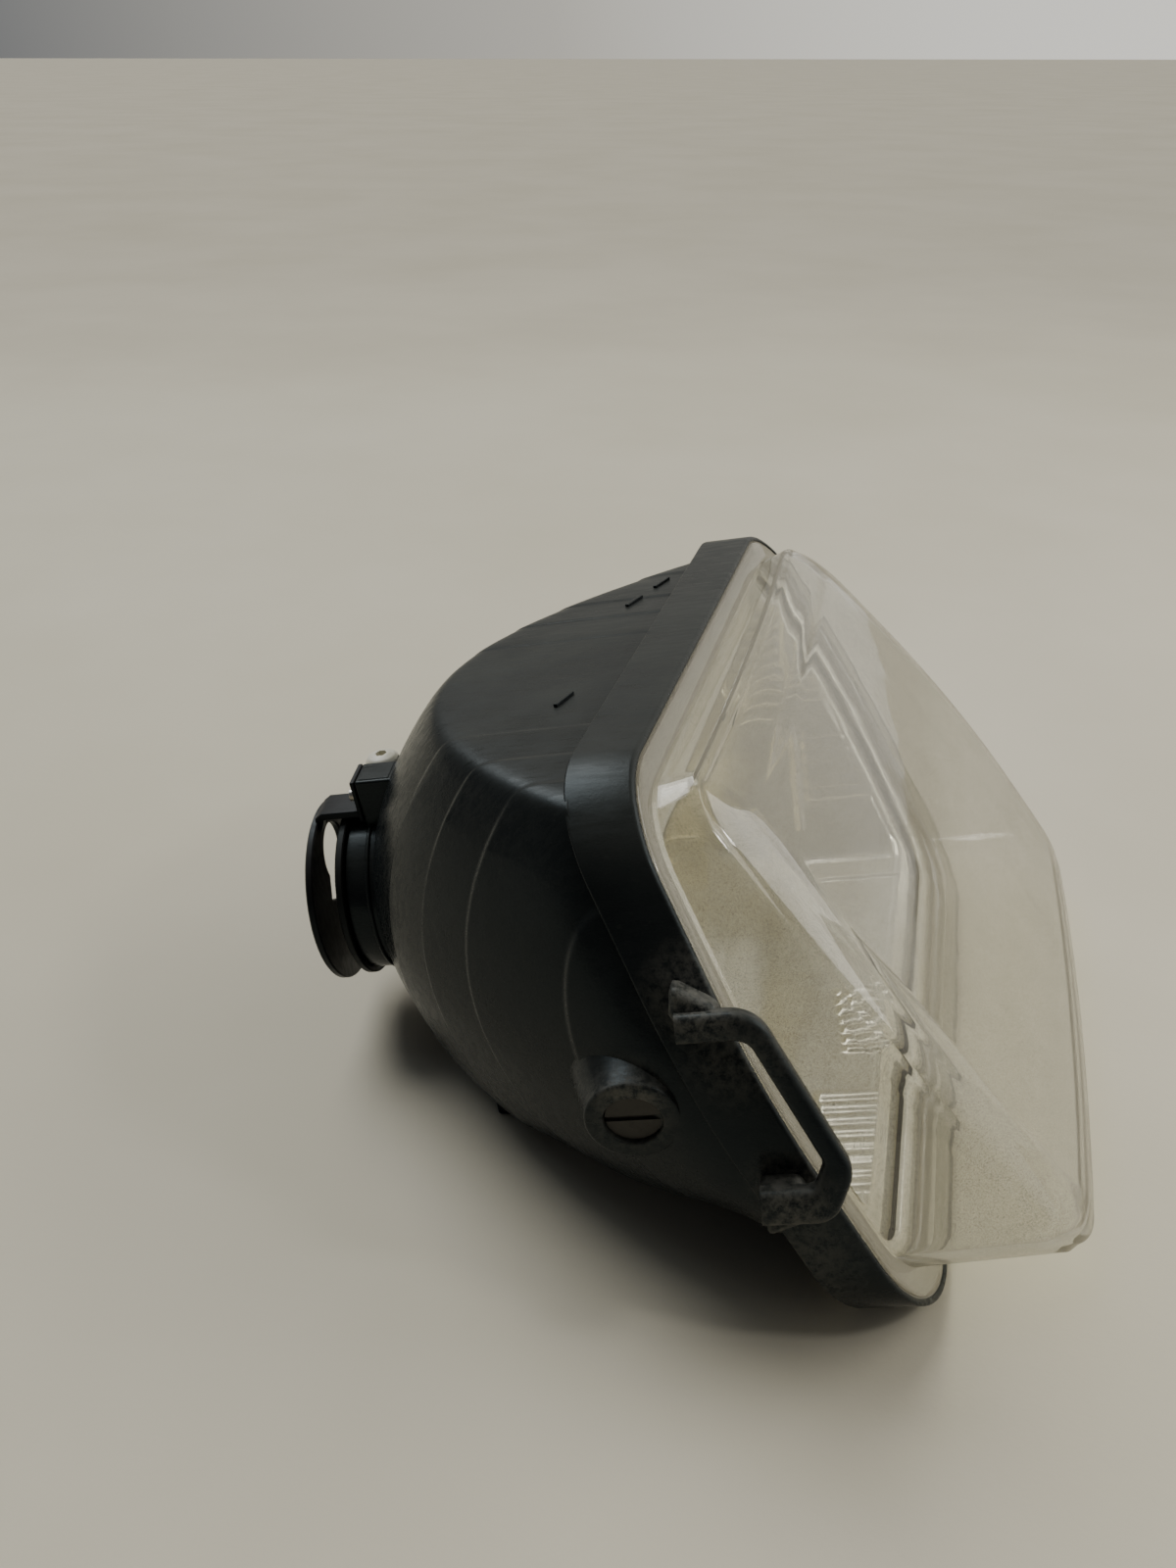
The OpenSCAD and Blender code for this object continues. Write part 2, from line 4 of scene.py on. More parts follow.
import bpy
import bmesh
import numpy as np
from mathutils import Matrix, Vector


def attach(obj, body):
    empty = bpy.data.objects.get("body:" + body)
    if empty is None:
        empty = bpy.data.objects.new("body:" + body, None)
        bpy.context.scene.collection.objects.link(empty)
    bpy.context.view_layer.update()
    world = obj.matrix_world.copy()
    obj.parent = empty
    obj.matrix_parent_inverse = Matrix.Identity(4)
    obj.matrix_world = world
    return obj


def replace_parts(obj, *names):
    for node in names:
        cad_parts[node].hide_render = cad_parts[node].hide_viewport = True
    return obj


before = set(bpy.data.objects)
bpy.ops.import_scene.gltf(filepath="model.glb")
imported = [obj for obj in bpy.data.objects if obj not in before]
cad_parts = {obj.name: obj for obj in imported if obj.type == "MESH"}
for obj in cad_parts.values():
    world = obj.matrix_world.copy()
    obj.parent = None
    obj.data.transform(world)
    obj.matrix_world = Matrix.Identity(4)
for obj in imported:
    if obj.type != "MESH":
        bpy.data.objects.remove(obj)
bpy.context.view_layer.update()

MM = 0.001
PITCH = math.radians(9.0)
# The optical frame of the part's source, in millimetres, to the row frame.
REST_HEIGHT = 71.51
SET_DOWN = np.array([33.55, 1.49, REST_HEIGHT])
ROT = np.array([[math.cos(PITCH), 0, -math.sin(PITCH)],
                [0, 1, 0],
                [math.sin(PITCH), 0, math.cos(PITCH)]])


def place(p):
    """Optical millimetres to row metres, for an array of points."""
    return (np.asarray(p, float) @ ROT.T + SET_DOWN) * MM


# --------------------------------------------------------------- shader nodes

def new_mat(name):
    """A new material, its node tree and its Principled shader."""
    m = bpy.data.materials.new(name)
    m.use_nodes = True
    nt = m.node_tree
    b = nt.nodes["Principled BSDF"]
    return m, nt, b


def node(nt, kind, **props):
    n = nt.nodes.new(kind)
    for k, v in props.items():
        setattr(n, k, v)
    return n


def object_coords(nt):
    """The object coordinates, from one node shared by the whole material."""
    c = nt.nodes.get("coords")
    if c is None:
        c = node(nt, "ShaderNodeTexCoord")
        c.name = "coords"
    return c.outputs["Object"]


def noise(nt, scale, detail=4.0, rough=0.55, vec=None):
    """A noise texture; scale is in features to the metre."""
    n = node(nt, "ShaderNodeTexNoise")
    n.inputs["Scale"].default_value = scale
    n.inputs["Detail"].default_value = detail
    n.inputs["Roughness"].default_value = rough
    nt.links.new(object_coords(nt) if vec is None else vec, n.inputs["Vector"])
    return n


def ramp(nt, fac, stops):
    """A colour ramp from (position, colour) stops."""
    r = node(nt, "ShaderNodeValToRGB")
    el = r.color_ramp.elements
    while len(el) > 1:
        el.remove(el[-1])
    el[0].position, el[0].color = stops[0][0], rgba(stops[0][1])
    for pos, col in stops[1:]:
        e = el.new(pos)
        e.color = rgba(col)
    nt.links.new(fac, r.inputs["Fac"])
    return r


def rgba(c):
    return (c[0], c[1], c[2], 1.0)


def bump(nt, height, strength, distance, normal=None):
    """Bump from a height value; distance is in metres."""
    b = node(nt, "ShaderNodeBump")
    b.inputs["Strength"].default_value = strength
    b.inputs["Distance"].default_value = distance
    nt.links.new(height, b.inputs["Height"])
    if normal is not None:
        nt.links.new(normal, b.inputs["Normal"])
    return b


def mix_rgb(nt, fac, a, b):
    """Colour a to colour b by fac; each colour is a value or a socket."""
    m = node(nt, "ShaderNodeMix", data_type="RGBA", blend_type="MIX")
    nt.links.new(fac, m.inputs[0])
    for sock, v in ((m.inputs[6], a), (m.inputs[7], b)):
        if hasattr(v, "is_linked"):
            nt.links.new(v, sock)
        else:
            sock.default_value = rgba(v)
    return m.outputs[2]


def math_node(nt, op, a, b=0.0, clamp=False):
    """A two-input maths node; each input is a number or a socket."""
    m = node(nt, "ShaderNodeMath", operation=op, use_clamp=clamp)
    for sock, v in ((m.inputs[0], a), (m.inputs[1], b)):
        if hasattr(v, "is_linked"):
            nt.links.new(v, sock)
        else:
            sock.default_value = v
    return m.outputs[0]


# ----------------------------------------------------------------- geometry

def unit(v):
    return v / np.linalg.norm(v)


def inset_corners(points, d):
    """Corners of a convex outline moved in by d."""
    p = np.array(points, float)
    n = len(p)
    out = []
    for i in range(n):
        a, b = unit(p[i - 1] - p[i]), unit(p[(i + 1) % n] - p[i])
        half = math.acos(np.clip(a @ b, -1, 1)) / 2
        out.append(p[i] + unit(a + b) * d / math.sin(half))
    return out


LEAST_RADIUS = 4.0


def rounded(points, radii, steps, d):
    """A convex outline moved in by d, with each corner rounded."""
    p = np.array(inset_corners(points, d))
    n = len(p)
    out = []
    for i in range(n):
        a, b = unit(p[i - 1] - p[i]), unit(p[(i + 1) % n] - p[i])
        half = math.acos(np.clip(a @ b, -1, 1)) / 2
        r = max(radii[i] - d, LEAST_RADIUS)
        c = p[i] + unit(a + b) * r / math.sin(half)
        s, e = p[i] + a * r / math.tan(half) - c, p[i] + b * r / math.tan(half) - c
        a0 = math.atan2(s[1], s[0])
        da = (math.atan2(e[1], e[0]) - a0 + math.pi) % (2 * math.pi) - math.pi
        for k in range(steps + 1):
            t = a0 + da * k / steps
            out.append(c + r * np.array([math.cos(t), math.sin(t)]))
    return np.array(out)


# Outlines across the optical axis, (y, z) in millimetres, with a radius a corner:
# the rim that meets the cover, and the cover's front face.
RIM = [(-84, 77), (-122, 10), (-137, -72), (84, -78), (124, -14), (141, 66)]
RIM_R = [40, 150, 26, 38, 150, 26]
FACE = [(-72, 68), (-99, 3), (-108, -76.5), (94, -78.5), (128, -14), (132, 61)]
FACE_R = [17, 230, 14, 26, 150, 22]
# Both planes turn back to the outer side, and lean back by their own rake.
SWEEP = math.radians(9)
RIM_RAKE = math.radians(27)
FACE_RAKE = math.radians(36)


def plane_x(yz, ahead, rake):
    """Forward distance of a raked plane at each (y, z)."""
    return (ahead + yz[..., 0] * math.tan(SWEEP)
            - yz[..., 1] * math.tan(rake) / math.cos(SWEEP))


def on_plane(yz, ahead, rake):
    """An outline's points on a raked plane."""
    return np.stack([plane_x(yz, ahead, rake), yz[..., 0], yz[..., 1]], -1)


WELD_DISTANCE = 1e-6


def mesh_piece(name, verts, faces, body, mat, smooth=60.0):
    """A mesh from optical-frame points, welded, shaded and riding a body."""
    me = bpy.data.meshes.new(name)
    me.from_pydata([tuple(v) for v in place(verts)], [],
                   [tuple(int(i) for i in f) for f in faces])
    bm = bmesh.new()
    bm.from_mesh(me)
    bmesh.ops.remove_doubles(bm, verts=bm.verts, dist=WELD_DISTANCE)
    bmesh.ops.recalc_face_normals(bm, faces=bm.faces)
    bm.to_mesh(me)
    bm.free()
    ob = bpy.data.objects.new(name, me)
    bpy.context.scene.collection.objects.link(ob)
    me.materials.append(mat)
    for p in me.polygons:
        p.use_smooth = True
    if smooth:
        me.set_sharp_from_angle(angle=math.radians(smooth))
    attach(ob, body)
    return ob


def grid_faces(rows, cols, closed=False):
    """Quads between rings of points, and from the last ring to the first if closed."""
    out = []
    for i in range(rows if closed else rows - 1):
        i2 = (i + 1) % rows
        for j in range(cols):
            j2 = (j + 1) % cols
            out.append((i * cols + j, i * cols + j2, i2 * cols + j2, i2 * cols + j))
    return out


# Any direction that isn't along a lathe's axis.
OFF_AXIS = (0.3, 0.9, 0.2)


def lathe(name, profile, origin, axis, body, mat, segments=96, smooth=50.0):
    """Solid of revolution: profile is (distance along axis, radius)."""
    axis = unit(np.array(axis, float))
    side = unit(np.cross(axis, OFF_AXIS))
    up = np.cross(axis, side)
    pts = []
    for a, r in profile:
        for k in range(segments):
            t = 2 * math.pi * k / segments
            pts.append(np.array(origin) + axis * a
                       + r * (math.cos(t) * side + math.sin(t) * up))
    hollow = profile[0][1] > 0 and profile[-1][1] > 0
    faces = grid_faces(len(profile), segments)
    if hollow and profile[0] != profile[-1]:
        last = (len(profile) - 1) * segments
        faces += [(last + j, last + (j + 1) % segments, (j + 1) % segments, j)
                  for j in range(segments)]
    return mesh_piece(name, np.array(pts), faces, body, mat, smooth)


def arc(cx, cy, r, a0, a1, n):
    """Points of a small rounding in a profile, angles in degrees."""
    return [(cx + r * math.cos(math.radians(a0 + (a1 - a0) * k / n)),
             cy + r * math.sin(math.radians(a0 + (a1 - a0) * k / n)))
            for k in range(n + 1)]


def round_rect(w, h, r, n):
    """A rectangle about the origin with rounded corners."""
    out = []
    for cx, cy, a in ((w / 2 - r, h / 2 - r, 0), (r - w / 2, h / 2 - r, 90),
                      (r - w / 2, r - h / 2, 180), (w / 2 - r, r - h / 2, 270)):
        out += arc(cx, cy, r, a, a + 90, n)
    return out


def bevel(ob, width, segments=2, angle=35):
    """Rounds an object's sharp edges by a width in millimetres."""
    b = ob.modifiers.new("soft_edges", "BEVEL")
    b.width = width * MM
    b.segments = segments
    b.limit_method = "ANGLE"
    b.angle_limit = math.radians(angle)
    b.harden_normals = False
    return b


# ------------------------------------------------------------- outlines, rings

def outline(points, radii, d, steps, straight):
    """Rounded outline with a fixed count of points, whatever the inset."""
    r = rounded(points, radii, steps, d)
    n, m = len(points), steps + 1
    out = []
    for i in range(n):
        a = r[i * m:(i + 1) * m]
        b = r[(i + 1) % n * m]
        out.extend(a)
        out.extend(a[-1] + (b - a[-1]) * k / straight for k in range(1, straight))
    return np.array(out)


def rim_ring_piece(name, profile, body, mat, steps=24, smooth=40.0):
    """A closed profile of (inset, distance ahead) carried round the rim."""
    rings = [on_plane(outline(RIM, RIM_R, d, steps, 6), a, RIM_RAKE)
             for d, a in profile]
    n = len(rings[0])
    return mesh_piece(name, np.concatenate(rings),
                      grid_faces(len(rings), n, True), body, mat, smooth)


FAR_AWAY = 1e4                       # distance of a wall that a ray never meets
CORNER_X = (-104, -80, -64, -50, -36, -22, 60)
CORNER_D = (80.7, 92.5, 101, 106, 109, 118, 128)


def corner_cut(x):
    """Distance of the sloping face under the outer flank, softened between points."""
    near_x = [np.interp(x + k, CORNER_X, CORNER_D) for k in (-6, -3, 0, 3, 6)]
    return np.where(x < -112, FAR_AWAY, np.mean(near_x, axis=0)
                    + np.where(x < -96, (-96 - x) * 1.2, 0))


TOP_TILT = math.radians(3)           # the flat top falls towards the inner side
CORNER_NORMAL = (-0.741, -0.672)     # of the sloping face under the outer flank
FRONT_LIMIT = 60.0                   # ahead of any point of the rim
HALVINGS = 40


def bowl_grid(f4, apex, side_inset, top, bottom, front, cols, rows, start, sharp,
              corner=False):
    """Rings from the rear to a plane at the rim: a paraboloid cut by a flat top,
    a flared bottom and the side walls, with each meeting line rounded."""
    th = 2 * math.pi * np.arange(cols) / cols
    e = np.stack([np.sin(th), np.cos(th)])                 # (y, z) by column
    lines = [((math.sin(TOP_TILT), math.cos(TOP_TILT)), top)]
    p = np.array(inset_corners(RIM, side_inset))
    for i in range(len(p)):
        a, b = p[i], p[(i + 1) % len(p)]
        nrm = unit(np.array([b[1] - a[1], a[0] - b[0]]))
        if nrm @ a < 0:
            nrm = -nrm
        lines.append((nrm, nrm @ a))

    def radius(x):
        d = [np.sqrt(f4 * np.maximum(x - apex, 0.01)) + 0 * e[0]]
        for nrm, c in lines:
            f = nrm[0] * e[0] + nrm[1] * e[1]
            d.append(np.where(f > 0.02, c / np.maximum(f, 0.02), FAR_AWAY) + 0 * x)
        # The bottom is level at the back, and flares towards the rim.
        soft = np.clip((x + 58) / 26, 0, 1) ** 2 * 4.94
        zb = -bottom + np.where(x < -32, soft, 0.38 * (x + 45))
        f = -e[1]
        d.append(np.where(f > 0.02, zb / np.maximum(f, 0.02), FAR_AWAY))
        if corner:
            f = CORNER_NORMAL[0] * e[0] + CORNER_NORMAL[1] * e[1]
            d.append(np.where(f > 0.1, corner_cut(x) / np.maximum(f, 0.1), FAR_AWAY))
        d = np.array(d)
        m = d.min(axis=0)
        return m * np.sum((m / d) ** sharp, axis=0) ** (-1 / sharp)

    lo, hi = np.full(cols, apex + 1.0), np.full(cols, FRONT_LIMIT)
    for _ in range(HALVINGS):
        mid = (lo + hi) / 2
        r = radius(mid)
        over = mid > plane_x((r * e).T, front, RIM_RAKE)
        hi, lo = np.where(over, mid, hi), np.where(over, lo, mid)
    t = np.linspace(0, 1, rows)[:, None] ** 1.25
    x = start + (lo[None, :] - start) * t
    r = radius(x)
    return np.stack([x, r * e[0], r * e[1]], 2)


def grid_normals(p):
    du = np.gradient(p, axis=0)
    dv = np.roll(p, -1, 1) - np.roll(p, 1, 1)
    nrm = np.cross(dv, du)
    nrm /= np.linalg.norm(nrm, axis=2, keepdims=True) + 1e-9
    out = np.sum(nrm[..., 1:] * p[..., 1:], axis=2, keepdims=True)
    return np.where(out < 0, -nrm, nrm)


def prism(name, shape, axis, lo, hi, body, mat, soft=0.4, move=None):
    """A 2-D outline pushed along an axis, with its edges rounded."""
    pts = []
    for h in (lo, hi):
        for a, b in shape:
            pts.append({"x": (h, a, b), "y": (a, h, b), "z": (a, b, h)}[axis])
    pts = np.array(pts, float)
    if move is not None:
        pts = move(pts)
    n = len(shape)
    faces = [(k, (k + 1) % n, n + (k + 1) % n, n + k) for k in range(n)]
    faces += [tuple(range(n))[::-1], tuple(range(n, 2 * n))]
    ob = mesh_piece(name, pts, faces, body, mat, 0)
    bevel(ob, soft).harden_normals = True
    return ob


def rect(a0, b0, a1, b1):
    return [(a0, b0), (a1, b0), (a1, b1), (a0, b1)]


# -------------------------------------------------------------- housing bowl

ARCS = (49.0, 67.0, 82.5, 105.5)     # where each step starts, out from the middle
STEP_HEIGHT = 0.85
SHELL_WALL = 2.2


def arc_step(s):
    """Height of the overlapping steps that run round both flanks."""
    h = np.zeros_like(s)
    ends = list(ARCS) + [135.0]
    for k, a in enumerate(ARCS):
        b = ends[k + 1]
        t = np.clip((s - a) / (b - a), 0, 1)
        rise = np.clip((s - a + 0.9) / 1.2, 0, 1)
        rise = rise * rise * (3 - 2 * rise)
        on = (s > a - 0.9) & (s <= b)
        h = np.where(on, np.maximum(h * (s > b - 0.9), rise * (1 - t) ** 1.3), h)
    return h


def build_bowl(mat):
    """The bowl, with the overlapping steps on its flanks."""
    cols, rows = ((900, 230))
    p = bowl_grid(f4=141.6, apex=-150.0, side_inset=1.5, top=69.0, bottom=-50.0,
                  front=-16.5, cols=cols, rows=rows, start=-146.5, sharp=44,
                  corner=True)
    s = 0.977 * np.abs(p[..., 1]) + 0.215 * p[..., 2]
    flank = np.clip((p[..., 2] + 49) / 4, 0, 1)
    last = np.clip((p[..., 2] + 40) / 10, 0, 1)
    side = np.clip((np.abs(p[..., 1]) - 30) / 10, 0, 1)
    h = arc_step(s) * np.where(s > 100, last, flank)
    on_top = 1 - 0.65 * np.clip((p[..., 2] - 56) / 8, 0, 1)
    p = p + grid_normals(p) * (STEP_HEIGHT * h * side * on_top)[..., None]
    ob = mesh_piece("housing_bowl", p.reshape(-1, 3), grid_faces(rows, cols),
                    "lamp_body", mat, smooth=0)
    sol = ob.modifiers.new("wall", "SOLIDIFY")
    sol.thickness = SHELL_WALL * MM
    sol.offset = -1.0
    return ob


def build_band(mat):
    """The band round the rim, with the channel that the cover sits in."""
    prof = (arc(1.4, -0.4, 0.4, 0, 90, 3) + arc(0.9, -0.9, 0.9, 90, 180, 4)
            + arc(1.0, -17.0, 1.0, 180, 270, 4)
            + [(3.6, -18), (3.6, -8.5), (10.6, -8.5), (11, -8.1), (11, -6.3),
               (10.7, -6), (1.8, -6)])
    return rim_ring_piece("rim_band", prof, "lamp_body", mat, 26, 38)


# ------------------------------------------------------------------ side loop

LOOP_TILT = math.radians(20)


def loop_frame(p):
    """The loop's own plane to the optical frame."""
    x, y, z = p[:, 0], p[:, 1], p[:, 2]
    c, s = math.cos(LOOP_TILT), math.sin(LOOP_TILT)
    return np.stack([x, -124 + y * c + z * s, -y * s + z * c], 1)


def soft_path(points, radii, steps):
    """An open line with its inner corners rounded."""
    p = [np.array(q, float) for q in points]
    out = [p[0]]
    for i in range(1, len(p) - 1):
        a, b = unit(p[i - 1] - p[i]), unit(p[i + 1] - p[i])
        half = math.acos(np.clip(a @ b, -1, 1)) / 2
        r = radii[i - 1]
        c = p[i] + unit(a + b) * r / math.sin(half)
        s, e = p[i] + a * r / math.tan(half) - c, p[i] + b * r / math.tan(half) - c
        a0 = math.atan2(s[1], s[0])
        da = (math.atan2(e[1], e[0]) - a0 + math.pi) % (2 * math.pi) - math.pi
        out += [c + r * np.array([math.cos(a0 + da * k / steps),
                                  math.sin(a0 + da * k / steps)])
                for k in range(steps + 1)]
    out.append(p[-1])
    return np.array(out)


def build_loop(mat):
    """The side loop and the two roots that hold it."""
    outer = soft_path([(-43, 34), (-23.5, 34), (-3.6, -8), (-9.6, -21), (-27, -21)],
                      [11, 9, 7], 14)
    inner = soft_path([(-43, 26.5), (-26.3, 26.5), (-11, -5.5), (-13.5, -12),
                       (-27, -12)], [5, 4, 3], 14)
    r, deep = 1.9, 6.0
    pts = []
    for o, i in zip(outer, inner):
        w = np.linalg.norm(o - i)
        across = (o - i) / w
        mid = (o + i) / 2
        for a, b in round_rect(w, deep, r, 4):
            q = mid + across * a
            pts.append((q[0], -4.5 + b, q[1]))
    m = len(round_rect(1, 1, 0.1, 4))
    n = len(outer)
    faces = grid_faces(n, m) + [tuple(range(m))[::-1],
                                tuple((n - 1) * m + k for k in range(m))]
    loop = mesh_piece("side_loop", loop_frame(np.array(pts)), faces,
                      "lamp_body", mat, 45)
    top = [(-43.5, 41), (-37, 37), (-32, 34), (-32, 26.5), (-42, 26.5), (-44.5, 33)]
    low = [(-27, -12), (-17, -12), (-14, -19.5), (-17, -22), (-26, -25)]
    return [loop,
            prism("loop_root_top", top, "y", -5, 4, "lamp_body", mat, 2.4,
                  loop_frame),
            prism("loop_root_low", low, "y", -5, 5, "lamp_body", mat, 1.6,
                  loop_frame)]


# ---------------------------------------------- bosses, neck, box, feet, marks

PIVOT = (-57.0, 2.0)


def build_bosses(mat):
    """The round bosses on both flanks, in line with the pivot pins."""
    out = []
    for name, side in (("pivot_boss_outer", -1), ("pivot_boss_inner", 1)):
        prof = ([(100, 0.0), (100, 18.5), (112, 14.4), (116, 12.9)]
                + arc(119.0, 11.5, 1.0, 90, 0, 4) + arc(119.3, 8.2, 0.7, 0, -90, 3)
                + [(116.5, 7.5), (116.5, 0.0)])
        out.append(lathe(name, prof, (PIVOT[0], 0, PIVOT[1]), (0, side, 0),
                         "lamp_body", mat, 72, 40))
    return out


def open_under_block(ob):
    """Leaves out the part of the neck that the adjuster block covers."""
    bm = bmesh.new()
    bm.from_mesh(ob.data)
    c, s = math.cos(PITCH), math.sin(PITCH)
    corner = Vector(place((0, 0, 0)))
    gone = []
    for v in bm.verts:
        q = (v.co - corner) / MM
        x, z = q.x * c + q.z * s, -q.x * s + q.z * c
        if -148.9 < x < -130 and 8.5 < q.y < 20.8 and z > 12.5:
            gone.append(v)
    bmesh.ops.delete(bm, geom=gone, context="VERTS")
    bm.to_mesh(ob.data)
    bm.free()


def build_neck(mat):
    """The open neck at the back and the bead round it."""
    prof = ([(-138, 28.0)] + arc(-153.4, 27.4, 0.6, 90, 180, 3)
            + arc(-153.5, 26.0, 0.5, 180, 270, 2) + [(-131, 25.5)])
    neck = lathe("rear_neck", prof, (0, 0, 0), (1, 0, 0), "lamp_body", mat,
                 120, 40)
    bead = [(-146.6 + 0.8 * math.cos(t), 27.9 + 0.8 * math.sin(t))
            for t in np.linspace(0, 2 * math.pi, 13)]
    ring = lathe("neck_bead", bead, (0, 0, 0), (1, 0, 0), "lamp_body", mat,
                 120, 60)
    for ob in (neck, ring):
        open_under_block(ob)
    return [neck, ring]


def build_rear_block(mat):
    """The box that the bracket is fixed to, and the adjuster's block and collar."""
    box = prism("bracket_box", [(-148.4, 24), (-148.4, 43.8), (-135.6, 43.8),
                                (-133.5, 40.5), (-133.5, 24)],
                "y", -6.5, 6.5, "lamp_body", mat, 0.9)
    lid = prism("bracket_box_lip", rect(-147.0, -5.2, -137.0, 5.2), "z", 43.4, 44.05,
                "lamp_body", mat, 0.25)
    well = prism("adjuster_block", [(-150.9, 28.3), (-150.9, 30.5), (-135.4, 30.5),
                                    (-135.4, 28.3)],
                 "y", 6.9, 22.6, "lamp_body", mat, 0.7)
    flank = prism("adjuster_block_side", rect(-150.9, 12, -135.4, 29.4), "y", 21.4, 22.6,
                  "lamp_body", mat, 0.5)
    end = prism("adjuster_block_end", [(22.6, 16.5), (22.6, 29.4), (6.9, 29.4),
                                       (6.9, 27.2), (15, 23.8)], "x", -150.9, -149.7,
                "lamp_body", mat, 0.5)
    prof = ([(28.4, 2.66), (34.6, 2.66)] + arc(34.4, 4.5, 0.5, 90, 0, 3)[::-1]
            + [(28.4, 5.0)])
    collar = lathe("adjuster_collar", prof, (-144.5, 15, 0), (0, 0, 1), "lamp_body",
                   mat, 48, 40)
    return [box, lid, well, flank, end, collar]


def floor_height(x):
    """Height of the floor under a point of the optical axis, in the optical frame."""
    return -(REST_HEIGHT + x * math.sin(PITCH)) / math.cos(PITCH)


def build_feet(mat):
    """Two tabs under the bowl, down to just above the floor."""
    out = []
    for k, y in enumerate((-57, 51)):
        shape = [(-112, -40), (-90, -40), (-90, floor_height(-90) + 0.06),
                 (-112, floor_height(-112) + 0.06)]
        out.append(prism("rest_foot_%d" % (k + 1), shape, "y", y, y + 6,
                         "lamp_body", mat, 0.9))
    return out


def build_marks(mat):
    """Short raised bars on the flat top: (x, y) and how far each one turns."""
    c, s = math.cos(TOP_TILT), math.sin(TOP_TILT)
    out = []
    for k, (x, y, turn) in enumerate([(-74, -19, 65), (-55, -33, 69), (-58, 63, 62),
                                      (-49, 80, 62)]):
        t = math.radians(turn)

        def on_top(p, x=x, y=y, t=t):
            q = np.stack([x + p[:, 0] * math.cos(t) - p[:, 1] * math.sin(t),
                          y + p[:, 0] * math.sin(t) + p[:, 1] * math.cos(t),
                          p[:, 2]], 1)
            return np.stack([q[:, 0], q[:, 1] * c + q[:, 2] * s,
                             -q[:, 1] * s + q[:, 2] * c], 1)
        out.append(prism("top_mark_%d" % (k + 1), rect(-5, -0.7, 5, 0.7), "z",
                         68.2, 69.75, "lamp_body", mat, 0.3, on_top))
    return out


# ----------------------------------------------------------------------- lens

FACE_AHEAD = 24.0
CROWN_RISE = 8
CROWN_MID = (8, -4)
CROWN_HALF = (118, 72)
WALL_STRAIGHT = 0.82                 # share of the cover's wall below the bend
CREST_SPAN = 0.55                    # how far the ridge's bend reaches each way
CREST_REACH = 0.42                   # how far its control point stands out


def crown(q):
    """How far the front face bulges at each (y, z)."""
    return CROWN_RISE * (1 - ((q[:, 0] - CROWN_MID[0]) / CROWN_HALF[0]) ** 2 / 2
                         - ((q[:, 1] - CROWN_MID[1]) / CROWN_HALF[1]) ** 2 / 2)


def face_skin(q, depth):
    """The front face at each (y, z), sunk by a depth."""
    x = plane_x(q, FACE_AHEAD, FACE_RAKE) + crown(q) - depth
    return np.stack([x, q[:, 0], q[:, 1]], 1)


def build_lens(mat):
    """The clear cover: its outer face, the flange at the rim and its inner face."""
    steps, straight = ((26, 16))
    wall, edge_w, sink = 3.0, 13.0, -2.4

    def rim_at(d, ahead):
        return on_plane(outline(RIM, RIM_R, d, steps, straight), ahead, RIM_RAKE)

    def face(d):
        return outline(FACE, FACE_R, d, steps, straight)

    def wall_rings(foot, tip, edge):
        high = foot + (tip - foot) * WALL_STRAIGHT
        crest = 0.25 * high + 0.5 * tip + 0.25 * edge
        a = crest + (high - crest) * CREST_SPAN
        b = crest + (edge - crest) * CREST_SPAN
        c = crest + (tip - crest) * CREST_REACH
        rings = [foot + (high - foot) * t for t in np.linspace(0, 1, 9)]
        rings.append(high + (a - high) * 0.5)
        for t in np.linspace(0, 1, 13):
            rings.append((1 - t) ** 2 * a + 2 * t * (1 - t) * c + t * t * b)
        rings += [b + (edge - b) * 0.5, edge]
        return rings

    def crown_rings(depth):
        q = face(edge_w)
        mid = np.array(CROWN_MID, float)
        return [face_skin(mid + (q - mid) * s, depth)
                for s in np.linspace(0.01, 1, 26)[:-1] ** 0.8]

    deep = wall * 1.2
    outer = wall_rings(rim_at(9.6, 0), face_skin(face(0), 0),
                       face_skin(face(edge_w), sink))
    inner = wall_rings(rim_at(12.6, -3), face_skin(face(wall), wall),
                       face_skin(face(edge_w), sink + deep))
    flange = [rim_at(9.2, 0), rim_at(2.9, 0), rim_at(2.4, -0.2), rim_at(2.2, -0.6),
              rim_at(2.2, -2.6), rim_at(2.5, -3.0), rim_at(12.2, -3.0)]
    rings = (crown_rings(sink) + outer[::-1] + flange + inner
             + crown_rings(sink + deep)[::-1])
    n = len(rings[0])
    faces = grid_faces(len(rings), n)
    faces += [tuple(range(n)), tuple((len(rings) - 1) * n + k for k in range(n))[::-1]]
    return mesh_piece("lens_cover", np.concatenate(rings), faces, "lamp_body", mat,
                      35)


def build_seal(mat):
    """The bead of sealant between the cover and the channel."""
    prof = [(1.84, -5.95), (1.84, -0.5), (2.16, -0.5), (2.16, -3.05), (10.2, -3.05),
            (10.6, -3.4), (10.6, -5.95)]
    return rim_ring_piece("lens_sealant", prof, "lamp_body", mat, 26, 40)


# ------------------------------------------------------------------ reflector

def window(v, lo, hi, soft):
    """1 between two limits and 0 outside them, with soft edges."""
    return np.clip((v - lo) / soft, 0, 1) * np.clip((hi - v) / soft, 0, 1)


MIRROR_GRID = (1200, 260)
FLUTE_DEPTH = 0.8


